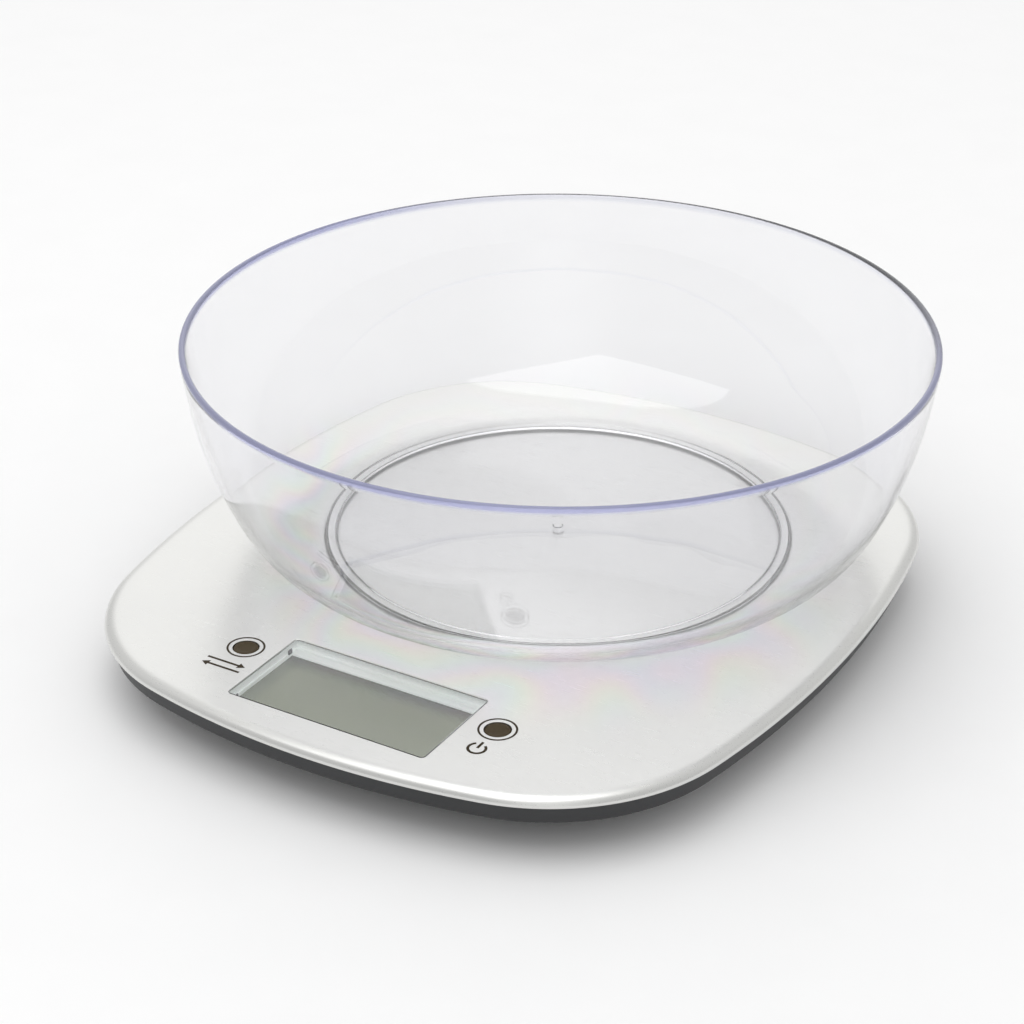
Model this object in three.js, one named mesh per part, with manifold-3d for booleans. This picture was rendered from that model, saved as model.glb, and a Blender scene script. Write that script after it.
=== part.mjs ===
// Electronic kitchen scale with a lift-off clear mixing bowl.
//
// Millimetres, +Z up. The front edge, with the display between two keys, faces -Y.
// Everything is laid out about the middle of the weighing plate, on the plane that the feet stand on.
// The last step moves the whole object so that the origin is the middle of its bounding box's bottom.

import * as THREE from 'three';
import * as BufferGeometryUtils from 'three/addons/utils/BufferGeometryUtils.js';
import Module from 'manifold-3d';

const wasm = await Module();
wasm.setup();

// ---------------------------------------------------------------- driving dimensions

// Outline shared by the plate, the carrier and the tray: four bulged sides and four round corners.
const plateHalfWidth = 95;
const plateHalfDepth = 107.5;
const sideBulgeRadius = 308;
const endBulgeRadius = 212;
const cornerRadius = 54;

// Heights above the table.
const plateTop = 18;
const plateLip = 15.4;
const trayRim = 15.1;
const carrierTop = 17.1;
const carrierUnderside = 15.8;
const trayUnderside = 3.6;
const trayFloor = 5.2;
const gap = 0.3;

// Weighing plate.
const sheetThickness = 0.6;
const edgeRoll = 3.4;

// Display window, its lens, bezel and glass.
const windowHalfWidth = 29;
const windowHalfDepth = 15.1;
const windowY = -80.9;
const lensThickness = 1.7;
const glassTop = 13.1;
const glassThickness = 2.7;

// Keys.
const keyX = 37.7;
const keyY = -76;
const keyRadius = 3.3;
const keyClearance = 0.4;

// Circuit board.
const boardHalfWidth = 43.5;
const boardFront = -90;
const boardBack = -60;
const boardBottom = 7.1;
const boardThickness = 1.6;
const boardTop = boardBottom + boardThickness;
const boardScrewX = 35.5;
const boardScrewFront = -86.5;
const boardScrewBack = -63.5;

// Feet and load cells.
const footX = 57;
const footY = 58.5;
const footHoleRadius = 8;
const footShoeRadius = footHoleRadius - 0.6;
const footFlangeRadius = footHoleRadius + 0.9;
const cellHalf = 10.5;
const cellBottom = 6.9;
const cellThickness = 1.4;

// Battery compartment: two AAA cells side by side.
const batteryY = 19;
const batteryRadius = 5.2;
const batteryLength = 44.5;
const batterySpacing = 11.2;
const batteryAxisHeight = 10.3;
const compartmentHalfLength = 26;
const compartmentHalfWidth = 13.2;
const compartmentWall = 1.4;
const doorHalfLength = 26.6;
const doorHalfWidth = 14;
const doorThickness = 1.2;

// Bowl.
const bowlSetback = 18.5;
const bowlRimRadius = 101;
const bowlHeight = 61;
const bowlFootRadius = 64;
const bowlFloorUnderside = 1;
const bowlFloorTop = 3;
const bowlWall = 1.8;
const bowlLift = 0.1;
const kneeRadius = 30;
const kneeCentre = 62.5;
const kneeTurn = THREE.MathUtils.degToRad(62);
const rimFlare = THREE.MathUtils.degToRad(6.5);

// Screws that join the tray to the carrier.
const baseScrewSpots = [
  [-72, 0],
  [72, 0],
  [-30, 84],
  [30, 84],
  [-22, -51],
  [22, -51],
];

const corners = [
  { name: 'front_left', x: -footX, y: -footY },
  { name: 'front_right', x: footX, y: -footY },
  { name: 'back_left', x: -footX, y: footY },
  { name: 'back_right', x: footX, y: footY },
];

// ---------------------------------------------------------------- solids

// A closed solid for the boolean library, with shared vertices merged and slivers dropped.
function solidOf(geometry) {
  const bare = geometry.clone();
  bare.deleteAttribute('normal');
  bare.deleteAttribute('uv');
  const merged = BufferGeometryUtils.mergeVertices(bare, 1e-4);
  const index = merged.index.array;
  const kept = [];
  for (let i = 0; i < index.length; i += 3) {
    const [a, b, c] = [index[i], index[i + 1], index[i + 2]];
    if (a !== b && b !== c && c !== a) {
      kept.push(a, b, c);
    }
  }
  return new wasm.Manifold(new wasm.Mesh({
    numProp: 3,
    vertProperties: new Float32Array(merged.attributes.position.array),
    triVerts: new Uint32Array(kept),
  }));
}

function geometryOf(solid) {
  const mesh = solid.getMesh();
  const geometry = new THREE.BufferGeometry();
  geometry.setAttribute('position', new THREE.BufferAttribute(new Float32Array(mesh.vertProperties), 3));
  geometry.setIndex(new THREE.BufferAttribute(new Uint32Array(mesh.triVerts), 1));
  geometry.computeVertexNormals();
  return geometry;
}

function join(...geometries) {
  const whole = geometries.map(solidOf).reduce((sum, next) => sum.add(next));
  return geometryOf(whole);
}

function cut(body, ...tools) {
  const rest = tools.map(solidOf).reduce((sum, next) => sum.subtract(next), solidOf(body));
  return geometryOf(rest);
}

// ---------------------------------------------------------------- shared shapes

// The corner arc is tangent inside both bulged edges, so its centre is a known distance from both.
function cornerCentre() {
  const toSide = sideBulgeRadius - cornerRadius;
  const toEnd = endBulgeRadius - cornerRadius;
  const side = new THREE.Vector2(plateHalfWidth - sideBulgeRadius, 0);
  const end = new THREE.Vector2(0, plateHalfDepth - endBulgeRadius);
  const apart = side.distanceTo(end);
  const along = (toSide ** 2 - toEnd ** 2 + apart ** 2) / (2 * apart);
  const across = Math.sqrt(toSide ** 2 - along ** 2);
  const direction = end.clone().sub(side).normalize();
  const normal = new THREE.Vector2(-direction.y, direction.x);
  return side.addScaledVector(direction, along).addScaledVector(normal, across);
}

// One quarter of the outline, anticlockwise from +X to +Y, drawn parallel to the plate's edge.
function quarterOutline(inset) {
  const corner = cornerCentre();
  const sideX = plateHalfWidth - sideBulgeRadius;
  const endY = plateHalfDepth - endBulgeRadius;
  const sideEnd = Math.atan2(corner.y, corner.x - sideX);
  const cornerEnd = Math.atan2(corner.y - endY, corner.x);
  const arcs = [
    { x: sideX, y: 0, radius: sideBulgeRadius, from: 0, to: sideEnd, steps: 3 },
    { x: corner.x, y: corner.y, radius: cornerRadius, from: sideEnd, to: cornerEnd, steps: 6 },
    { x: 0, y: endY, radius: endBulgeRadius, from: cornerEnd, to: Math.PI / 2, steps: 4 },
  ];
  const points = [];
  for (const arc of arcs) {
    for (let i = 0; i < arc.steps; i += 1) {
      const angle = THREE.MathUtils.lerp(arc.from, arc.to, i / arc.steps);
      const radius = arc.radius - inset;
      points.push(new THREE.Vector2(arc.x + radius * Math.cos(angle), arc.y + radius * Math.sin(angle)));
    }
  }
  points.push(new THREE.Vector2(0, plateHalfDepth - inset));
  return points;
}

function plateOutline(inset) {
  const quarter = quarterOutline(inset);
  const mirrored = (points, x, y) => points.map((p) => new THREE.Vector2(p.x * x, p.y * y));
  const backwards = [...quarter].reverse();
  return [
    ...quarter,
    ...mirrored(backwards, -1, 1).slice(1),
    ...mirrored(quarter, -1, -1).slice(1),
    ...mirrored(backwards, 1, -1).slice(1, -1),
  ];
}

// A closed body through a stack of plate outlines, listed from the bottom up as [inset, height].
function outlineStack(levels) {
  const rings = levels.map(([inset, height]) => ({ points: plateOutline(inset), height }));
  const count = rings[0].points.length;
  const positions = rings.flatMap((ring) => ring.points.flatMap((p) => [p.x, p.y, ring.height]));
  const faces = [];
  for (let level = 0; level + 1 < rings.length; level += 1) {
    for (let i = 0; i < count; i += 1) {
      const low = level * count;
      const high = low + count;
      const next = (i + 1) % count;
      faces.push(low + i, low + next, high + next);
      faces.push(low + i, high + next, high + i);
    }
  }
  const top = (rings.length - 1) * count;
  for (const [a, b, c] of THREE.ShapeUtils.triangulateShape(rings[0].points, [])) {
    faces.push(c, b, a);
    faces.push(top + a, top + b, top + c);
  }
  const geometry = new THREE.BufferGeometry();
  geometry.setAttribute('position', new THREE.Float32BufferAttribute(positions, 3));
  geometry.setIndex(faces);
  return geometry;
}

function roundedRectangle(halfWidth, halfDepth, radius) {
  const shape = new THREE.Shape();
  shape.moveTo(halfWidth - radius, -halfDepth);
  shape.absarc(halfWidth - radius, -halfDepth + radius, radius, -Math.PI / 2, 0, false);
  shape.absarc(halfWidth - radius, halfDepth - radius, radius, 0, Math.PI / 2, false);
  shape.absarc(-halfWidth + radius, halfDepth - radius, radius, Math.PI / 2, Math.PI, false);
  shape.absarc(-halfWidth + radius, -halfDepth + radius, radius, Math.PI, Math.PI * 1.5, false);
  return shape;
}

// An upright block with rounded vertical edges, from one height to another.
function block({ x = 0, y = 0, halfWidth, halfDepth, radius = 0.6, bottom, top }) {
  const shape = roundedRectangle(halfWidth, halfDepth, radius);
  const options = { depth: top - bottom, bevelEnabled: false, curveSegments: 1 };
  const geometry = new THREE.ExtrudeGeometry(shape, options);
  geometry.translate(x, y, bottom);
  return geometry;
}

function post({ x = 0, y = 0, radius, bottom, top, sides = 20 }) {
  const geometry = new THREE.CylinderGeometry(radius, radius, top - bottom, sides);
  geometry.rotateX(Math.PI / 2);
  geometry.translate(x, y, (bottom + top) / 2);
  return geometry;
}

// A body turned about the Z axis from an anticlockwise [radius, height] profile.
function turned(profile, sides = 24) {
  const points = profile.map(([radius, height]) => new THREE.Vector2(radius, height));
  const geometry = new THREE.LatheGeometry(points, sides);
  geometry.rotateX(Math.PI / 2);
  return geometryOf(solidOf(geometry));
}

function swept(curve, radius, sides, steps) {
  const section = new THREE.Shape();
  section.absarc(0, 0, radius, 0, Math.PI * 2, false);
  const options = { extrudePath: curve, steps, bevelEnabled: false, curveSegments: sides / 2 };
  return geometryOf(solidOf(new THREE.ExtrudeGeometry(section, options)));
}

// ---------------------------------------------------------------- materials

function finish(color, roughness, metalness = 0) {
  return new THREE.MeshStandardMaterial({ color, roughness, metalness });
}

const brightSteel = () => finish(0xd9dad6, 0.3, 1);
const plainSteel = () => finish(0xa8abad, 0.4, 1);
const blackPlastic = () => finish(0x202123, 0.5);
const whitePlastic = () => finish(0xe8e9e7, 0.5);
const greyPlastic = () => finish(0xcfd3d4, 0.35);
const keyPlastic = () => finish(0x2b211d, 0.4);
const boardGreen = () => finish(0x2f6b3f, 0.5);
const epoxyBlack = () => finish(0x151515, 0.35);
const rubberGrey = () => finish(0x3b3c3e, 0.9);
const zebraGrey = () => finish(0x6d6f70, 0.8);
const nickel = () => finish(0xc9c7c0, 0.3, 1);
const cellSleeve = () => finish(0x3d6f9c, 0.35);
const displayGlass = () => finish(0x9aa287, 0.15);

function clearPlastic() {
  const material = finish(0xf2f4fb, 0.05);
  material.transparent = true;
  material.opacity = 0.3;
  return material;
}

// ---------------------------------------------------------------- assembly helper

const scale = new THREE.Group();

function add(name, geometry, material, x = 0, y = 0, z = 0) {
  const mesh = new THREE.Mesh(geometry, material);
  mesh.name = name;
  mesh.position.set(x, y, z);
  scale.add(mesh);
  return mesh;
}

// ---------------------------------------------------------------- plate, carrier and tray

// Levels of a quarter-round edge that rises from a vertical lip to a flat top.
function rolledEdge({ inset, roll, lip, top, steps }) {
  const levels = [];
  for (let i = 0; i <= steps; i += 1) {
    const turn = (i / steps) * (Math.PI / 2);
    levels.push([inset + roll * (1 - Math.cos(turn)), lip + (top - lip) * Math.sin(turn)]);
  }
  return levels;
}

function keyHoles(radius, bottom, top) {
  return [-keyX, keyX].map((x) => post({ x, y: keyY, radius, bottom, top }));
}

function buildWeighingPlate() {
  const outside = outlineStack(rolledEdge({
    inset: 0,
    roll: edgeRoll,
    lip: plateLip,
    top: plateTop,
    steps: 4,
  }));
  const hollow = outlineStack([
    [sheetThickness, plateLip - 1],
    ...rolledEdge({
      inset: sheetThickness,
      roll: edgeRoll - sheetThickness,
      lip: plateLip,
      top: plateTop - sheetThickness,
      steps: 3,
    }),
  ]);
  const opening = block({
    y: windowY,
    halfWidth: windowHalfWidth,
    halfDepth: windowHalfDepth,
    radius: 1.2,
    bottom: plateLip,
    top: plateTop + 1,
  });
  const holes = keyHoles(keyRadius + keyClearance, plateLip, plateTop + 1);
  add('weighing_plate', cut(outside, hollow, opening, ...holes), brightSteel());
}

function boardScrewSpots() {
  const spots = [];
  for (const x of [-boardScrewX, boardScrewX]) {
    for (const y of [boardScrewFront, boardScrewBack]) {
      spots.push([x, y]);
    }
  }
  return spots;
}

function buildTopCarrier() {
  const skirtInset = 3.2;
  const skirtThickness = 1.4;
  const skirtBottom = 11.5;
  const deck = outlineStack([
    [2.8, carrierUnderside],
    [2.8, carrierTop - 0.7],
    [3.7, carrierTop],
  ]);
  const skirt = cut(
    outlineStack([[skirtInset, skirtBottom], [skirtInset, carrierUnderside + 0.4]]),
    outlineStack([[skirtInset + skirtThickness, skirtBottom - 1], [skirtInset + skirtThickness, carrierTop + 1]]),
  );
  const bosses = baseScrewSpots.map(([x, y]) => post({ x, y, radius: 3, bottom: 7.5, top: 16, sides: 12 }));
  const posts = boardScrewSpots().map(([x, y]) => post({
    x,
    y,
    radius: 2.4,
    bottom: boardTop + gap,
    top: 16,
    sides: 10,
  }));
  const bossBores = baseScrewSpots.map(([x, y]) => post({ x, y, radius: 1.45, bottom: 7, top: 14, sides: 8 }));
  const postBores = boardScrewSpots().map(([x, y]) => post({ x, y, radius: 1.25, bottom: 8, top: 13.4, sides: 8 }));
  const displayOpening = block({
    y: windowY,
    halfWidth: windowHalfWidth + 2.4,
    halfDepth: windowHalfDepth + 2.5,
    bottom: carrierUnderside - 1,
    top: carrierTop + 1,
  });
  const whole = join(deck, skirt, ...bosses, ...posts);
  const holes = keyHoles(keyRadius + keyClearance, carrierUnderside - 1, carrierTop + 1);
  add('top_carrier', cut(whole, ...bossBores, ...postBores, displayOpening, ...holes), whitePlastic());
}

function compartmentShell() {
  const outer = block({
    y: batteryY,
    halfWidth: compartmentHalfLength + compartmentWall,
    halfDepth: compartmentHalfWidth + compartmentWall,
    bottom: trayFloor - 0.4,
    top: trayRim,
  });
  return outer;
}

function compartmentHollows() {
  const inside = block({
    y: batteryY,
    halfWidth: compartmentHalfLength,
    halfDepth: compartmentHalfWidth,
    bottom: trayUnderside - 1,
    top: trayRim + 1,
  });
  const doorSeat = block({
    y: batteryY,
    halfWidth: doorHalfLength + 0.4,
    halfDepth: doorHalfWidth + 0.4,
    bottom: trayUnderside - 1,
    top: trayUnderside + doorThickness + gap,
  });
  return [inside, doorSeat];
}

function buildBaseTray() {
  const outside = outlineStack([
    [14.5, trayUnderside],
    [2.6, 9.75],
    [2, 10.3],
    [1.1, trayRim],
  ]);
  const hollow = outlineStack([
    [15.2, trayFloor],
    [4.4, 10.8],
    [2.8, 11.2],
    [2.8, trayRim + 1],
  ]);
  const bosses = baseScrewSpots.map(([x, y]) => post({ x, y, radius: 4.4, bottom: 4.8, top: 7.2, sides: 12 }));
  const headRecesses = baseScrewSpots.map(([x, y]) => post({ x, y, radius: 3.1, bottom: 3, top: 5.7, sides: 12 }));
  const screwHoles = baseScrewSpots.map(([x, y]) => post({ x, y, radius: 1.5, bottom: 3, top: 8, sides: 8 }));
  const footHoles = corners.map(({ x, y }) => post({ x, y, radius: footHoleRadius, bottom: 3, top: 6, sides: 20 }));
  const shell = join(cut(outside, hollow), compartmentShell(), ...bosses);
  const tray = cut(shell, ...compartmentHollows(), ...headRecesses, ...screwHoles, ...footHoles);
  add('base_tray', tray, blackPlastic());
}

function buildBatteryDoor() {
  const panel = block({
    y: batteryY,
    halfWidth: doorHalfLength,
    halfDepth: doorHalfWidth,
    bottom: trayUnderside,
    top: trayUnderside + doorThickness,
  });
  const latch = block({
    y: batteryY - compartmentHalfWidth + 1.1,
    halfWidth: 4,
    halfDepth: 0.5,
    radius: 0.2,
    bottom: trayUnderside + 0.6,
    top: trayUnderside + doorThickness + 1.6,
  });
  const fingerDip = block({
    y: batteryY - doorHalfWidth + 3.4,
    halfWidth: 5,
    halfDepth: 1.4,
    radius: 1,
    bottom: trayUnderside - 1,
    top: trayUnderside + 0.6,
  });
  add('battery_door', cut(join(panel, latch), fingerDip), blackPlastic());
}

// ---------------------------------------------------------------- display

function buildDisplay() {
  const lensTop = plateTop - 0.1;
  const lensBottom = lensTop - lensThickness;
  const lens = join(
    block({
      y: windowY,
      halfWidth: windowHalfWidth - 0.3,
      halfDepth: windowHalfDepth - 0.3,
      radius: 1,
      bottom: lensBottom,
      top: lensTop,
    }),
    block({
      y: windowY,
      halfWidth: windowHalfWidth + 1.6,
      halfDepth: windowHalfDepth + 1.6,
      bottom: lensBottom,
      top: plateTop - sheetThickness - gap,
    }),
  );
  add('window_lens', lens, clearPlastic());

  const bezel = cut(
    block({
      y: windowY,
      halfWidth: windowHalfWidth + 1.6,
      halfDepth: windowHalfDepth + 1.6,
      bottom: glassTop + gap,
      top: lensBottom - gap,
    }),
    block({
      y: windowY,
      halfWidth: windowHalfWidth - 0.3,
      halfDepth: windowHalfDepth - 0.3,
      bottom: glassTop - 1,
      top: plateTop,
    }),
  );
  add('display_bezel', bezel, greyPlastic());

  const glass = block({
    y: windowY,
    halfWidth: windowHalfWidth + 2,
    halfDepth: windowHalfDepth + 2.1,
    bottom: glassTop - glassThickness,
    top: glassTop,
  });
  add('lcd_panel', glass, displayGlass());

  const connector = block({
    y: windowY + windowHalfDepth - 1,
    halfWidth: 26,
    halfDepth: 1.2,
    radius: 0.3,
    bottom: boardTop + gap,
    top: glassTop - glassThickness - gap,
  });
  add('lcd_connector', connector, zebraGrey());
}

// ---------------------------------------------------------------- circuit board and keys

function buildCircuitBoard() {
  const board = block({
    y: (boardFront + boardBack) / 2,
    halfWidth: boardHalfWidth,
    halfDepth: (boardBack - boardFront) / 2,
    radius: 1.5,
    bottom: boardBottom,
    top: boardTop,
  });
  const holes = boardScrewSpots().map(([x, y]) => post({
    x,
    y,
    radius: 1.3,
    bottom: boardBottom - 1,
    top: boardTop + 1,
    sides: 8,
  }));
  add('circuit_board', cut(board, ...holes), boardGreen());

  const cover = turned([
    [0, -0.9],
    [3.4, -0.8],
    [5.6, -0.45],
    [6.5, 0],
    [0, 0],
  ]);
  add('chip_cover', cover, epoxyBlack(), 0, boardFront + 15, boardBottom - gap);
}

// A cap flush with the plate, a collar that the carrier holds down, and a stem over the switch.
function keyGeometry(stemBottom) {
  const collar = keyRadius + 1.3;
  return turned([
    [0, stemBottom],
    [1.8, stemBottom],
    [1.8, 14.4],
    [collar, 14.4],
    [collar, 15.2],
    [keyRadius, 15.2],
    [keyRadius, plateTop - 0.25],
    [keyRadius - 0.15, plateTop - 0.1],
    [0, plateTop - 0.1],
  ], 20);
}

function buildKey(side, x) {
  const switchTop = 11.4;
  const plungerTop = 11.9;
  const boreFloor = 9.8;
  const body = cut(
    block({ halfWidth: 3, halfDepth: 3, radius: 0.3, bottom: boardTop + gap, top: switchTop }),
    post({ radius: 2, bottom: boreFloor, top: switchTop + 1, sides: 16 }),
  );
  const plunger = turned([
    [0, boreFloor + 0.7],
    [1.7, boreFloor + 0.7],
    [1.7, plungerTop - 0.1],
    [1.6, plungerTop],
    [0, plungerTop],
  ], 16);
  add(`key_${side}`, keyGeometry(plungerTop + gap), keyPlastic(), x, keyY);
  add(`switch_body_${side}`, body, epoxyBlack(), x, keyY);
  add(`switch_plunger_${side}`, plunger, whitePlastic(), x, keyY);
}

// ---------------------------------------------------------------- load cells and feet

// A spring-steel plate whose middle tongue, inside a U-shaped slot, takes the foot's push.
function loadCellGeometry() {
  const plate = roundedRectangle(cellHalf, cellHalf, 2);
  const slot = new THREE.Path();
  const slotOuter = cellHalf - 4;
  const slotInner = slotOuter - 2.2;
  slot.moveTo(-slotOuter, -slotOuter - 1);
  slot.lineTo(slotOuter, -slotOuter - 1);
  slot.lineTo(slotOuter, slotOuter - 1);
  slot.lineTo(slotInner, slotOuter - 1);
  slot.lineTo(slotInner, -slotInner - 1);
  slot.lineTo(-slotInner, -slotInner - 1);
  slot.lineTo(-slotInner, slotOuter - 1);
  slot.lineTo(-slotOuter, slotOuter - 1);
  slot.closePath();
  plate.holes.push(slot);
  const options = { depth: cellThickness, bevelEnabled: false, curveSegments: 1 };
  const geometry = new THREE.ExtrudeGeometry(plate, options);
  geometry.translate(0, 0, cellBottom);
  return geometry;
}

// A square cup fixed to the tray that carries the cell by its edge and leaves its middle free.
function cellHolderGeometry() {
  const outer = cellHalf + 1.6;
  const cup = block({
    halfWidth: outer,
    halfDepth: outer,
    radius: 3,
    bottom: trayFloor + gap,
    top: cellBottom + cellThickness + gap,
  });
  const pocket = block({
    halfWidth: cellHalf + gap,
    halfDepth: cellHalf + gap,
    radius: 1.6,
    bottom: cellBottom - gap,
    top: cellBottom + cellThickness + 2,
  });
  const way = block({
    halfWidth: footFlangeRadius + gap,
    halfDepth: footFlangeRadius + gap,
    bottom: trayFloor - 1,
    top: cellBottom + 1,
  });
  return cut(cup, pocket, way);
}

function footShoeGeometry() {
  return turned([
    [0, 1.3],
    [footShoeRadius - 0.6, 1.3],
    [footShoeRadius, 1.9],
    [footShoeRadius, 5.6],
    [footFlangeRadius, 5.6],
    [footFlangeRadius, 6],
    [3, 6],
    [3, 6.4],
    [0, 6.4],
  ], 20);
}

function footPadGeometry() {
  return turned([
    [0, 0],
    [footShoeRadius - 1, 0],
    [footShoeRadius - 0.6, 0.3],
    [footShoeRadius - 0.6, 1],
    [0, 1],
  ], 20);
}

function buildCorner({ name, x, y }) {
  add(`load_cell_${name}`, loadCellGeometry(), plainSteel(), x, y);
  add(`cell_holder_${name}`, cellHolderGeometry(), whitePlastic(), x, y);
  add(`foot_shoe_${name}`, footShoeGeometry(), blackPlastic(), x, y);
  add(`foot_pad_${name}`, footPadGeometry(), rubberGrey(), x, y);
}

// ---------------------------------------------------------------- batteries and contacts

// One AAA cell along X, its raised end towards the given side.
function buildBattery(name, towards, y) {
  const half = batteryLength / 2;
  const geometry = turned([
    [0, -half],
    [batteryRadius - 0.4, -half],
    [batteryRadius, -half + 0.4],
    [batteryRadius, half - 1.4],
    [batteryRadius - 0.4, half - 1],
    [1.9, half - 1],
    [1.9, half],
    [0, half],
  ], 20);
  const mesh = add(name, geometry, cellSleeve(), 0, y, batteryAxisHeight);
  mesh.rotation.y = towards * (Math.PI / 2);
}

// Conical wire spring along X, wide where it meets its plate.
class SpringCurve extends THREE.Curve {
  constructor(startX, endX) {
    super();
    this.startX = startX;
    this.endX = endX;
  }

  getPoint(t, target = new THREE.Vector3()) {
    const turns = 2.5;
    const radius = THREE.MathUtils.lerp(3.8, 2.1, t);
    const angle = t * turns * Math.PI * 2;
    const x = THREE.MathUtils.lerp(this.startX, this.endX, t);
    return target.set(x, radius * Math.cos(angle), radius * Math.sin(angle));
  }
}

function springGeometry(startX, endX) {
  return swept(new SpringCurve(startX, endX), 0.3, 6, 30);
}

function contactPlate(x, halfDepth) {
  const plate = new THREE.BoxGeometry(0.4, halfDepth * 2, 8.6);
  plate.translate(x, 0, 0);
  return plate;
}

function contactDimple(fromX, toX) {
  const dimple = new THREE.CylinderGeometry(1.6, 2.2, Math.abs(toX - fromX), 12);
  dimple.rotateZ(toX > fromX ? -Math.PI / 2 : Math.PI / 2);
  dimple.translate((fromX + toX) / 2, 0, 0);
  return dimple;
}

function buildBatteries() {
  const half = batterySpacing / 2;
  const plateX = compartmentHalfLength - 0.6;
  const touch = batteryLength / 2 + gap;
  buildBattery('battery_cell_back', 1, batteryY + half);
  buildBattery('battery_cell_front', -1, batteryY - half);

  const bridgeSpring = springGeometry(plateX - 0.2, touch + gap);
  bridgeSpring.translate(0, -half, 0);
  const bridgeDimple = contactDimple(plateX, touch);
  bridgeDimple.translate(0, half, 0);
  const bridge = join(contactPlate(plateX, half + 4.6), bridgeSpring, bridgeDimple);
  add('contact_bridge', bridge, nickel(), 0, batteryY, batteryAxisHeight);

  const positive = join(contactPlate(-plateX, 4.6), contactDimple(-plateX, -touch));
  add('contact_positive', positive, nickel(), 0, batteryY - half, batteryAxisHeight);

  const negative = join(contactPlate(-plateX, 4.6), springGeometry(-plateX + 0.2, -touch - gap));
  add('contact_spring', negative, nickel(), 0, batteryY + half, batteryAxisHeight);
}

// ---------------------------------------------------------------- fasteners and leads

// A pan-head screw that points up, with a cross recess in the head's underside.
function screwGeometry({ headRadius, headHeight, shankRadius, length }) {
  const body = turned([
    [0, 0],
    [headRadius - 0.3, 0],
    [headRadius, 0.35],
    [headRadius, headHeight],
    [shankRadius, headHeight],
    [shankRadius, headHeight + length - 0.8],
    [0, headHeight + length],
  ], 10);
  const slots = [0, Math.PI / 2].map((turn) => {
    const slot = new THREE.BoxGeometry(headRadius * 1.1, headRadius * 0.26, headHeight);
    slot.rotateZ(turn);
    return slot;
  });
  return cut(body, ...slots);
}

function buildScrews() {
  const baseScrew = { headRadius: 2.7, headHeight: 1.4, shankRadius: 1.1, length: 7.8 };
  baseScrewSpots.forEach(([x, y], i) => {
    add(`base_screw_${i + 1}`, screwGeometry(baseScrew), plainSteel(), x, y, 4);
  });
  const boardScrew = { headRadius: 2, headHeight: 1, shankRadius: 0.9, length: 5.8 };
  boardScrewSpots().forEach(([x, y], i) => {
    const z = boardBottom - gap - boardScrew.headHeight;
    add(`board_screw_${i + 1}`, screwGeometry(boardScrew), plainSteel(), x, y, z);
  });
}

function buildLead(name, radius, color, ...stops) {
  const curve = new THREE.CatmullRomCurve3(stops.map((stop) => new THREE.Vector3(...stop)), false, 'centripetal');
  add(name, swept(curve, radius, 8, stops.length * 3), finish(color, 0.5));
}

function buildLeads() {
  const cellEdge = cellBottom + cellThickness + 1;
  const boardLevel = boardTop + 1;
  for (const { name, x, y } of corners) {
    const side = Math.sign(x);
    if (y < 0) {
      buildLead(`sensor_lead_${name}`, 0.6, 0xd8d8d4,
        [x - side * 8, y + 8, cellEdge],
        [x - side * 12, y + 6, cellEdge + 0.8],
        [side * 41, boardBack + 1, boardLevel + 0.6],
        [side * 40.4, boardBack - 7, boardLevel]);
    } else {
      buildLead(`sensor_lead_${name}`, 0.6, 0xd8d8d4,
        [x - side * 8, y - 8, cellEdge],
        [side * 44, y - 22, cellEdge + 0.8],
        [side * 40, 0, cellEdge + 0.8],
        [side * 34, -40, cellEdge + 0.8],
        [side * 30, boardBack - 5, boardLevel]);
    }
  }
  const wall = -(compartmentHalfLength + compartmentWall + 1);
  const level = cellEdge + 0.4;
  buildLead('battery_lead_red', 0.6, 0xb3261e,
    [wall - 1.8, batteryY + 5, level],
    [wall - 3, 0, level],
    [-14, -38, level],
    [-11, boardBack - 3, boardLevel]);
  buildLead('battery_lead_black', 0.6, 0x1c1c1c,
    [wall, batteryY - 5, level],
    [wall - 0.6, 0, level],
    [-9, -38, level],
    [-7, boardBack - 3, boardLevel]);
}

// ---------------------------------------------------------------- bowl

// The wall from foot to rim: a round knee, then a long curve that straightens towards the rim.
function bowlWallLine(offset, kneeSteps, wallSteps) {
  const kneeHeight = bowlFloorUnderside + kneeRadius;
  const radius = kneeRadius - offset;
  const start = Math.asin((bowlFootRadius + 0.4 - kneeCentre) / kneeRadius);
  const points = [];
  for (let i = 0; i <= kneeSteps; i += 1) {
    const turn = THREE.MathUtils.lerp(start, kneeTurn, i / kneeSteps);
    points.push(new THREE.Vector2(
      kneeCentre + radius * Math.sin(turn),
      kneeHeight - radius * Math.cos(turn),
    ));
  }
  const kneeEnd = points[points.length - 1];
  const kneeWay = new THREE.Vector2(Math.cos(kneeTurn), Math.sin(kneeTurn));
  const rim = new THREE.Vector2(bowlRimRadius - offset, bowlHeight - 0.6);
  const rimWay = new THREE.Vector2(Math.sin(rimFlare), Math.cos(rimFlare));
  const apart = rim.clone().sub(kneeEnd);
  const reach = apart.cross(rimWay) / kneeWay.cross(rimWay);
  const bend = kneeEnd.clone().addScaledVector(kneeWay, reach);
  const wall = new THREE.QuadraticBezierCurve(kneeEnd, bend, rim);
  return [...points, ...wall.getPoints(wallSteps).slice(1)];
}

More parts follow.
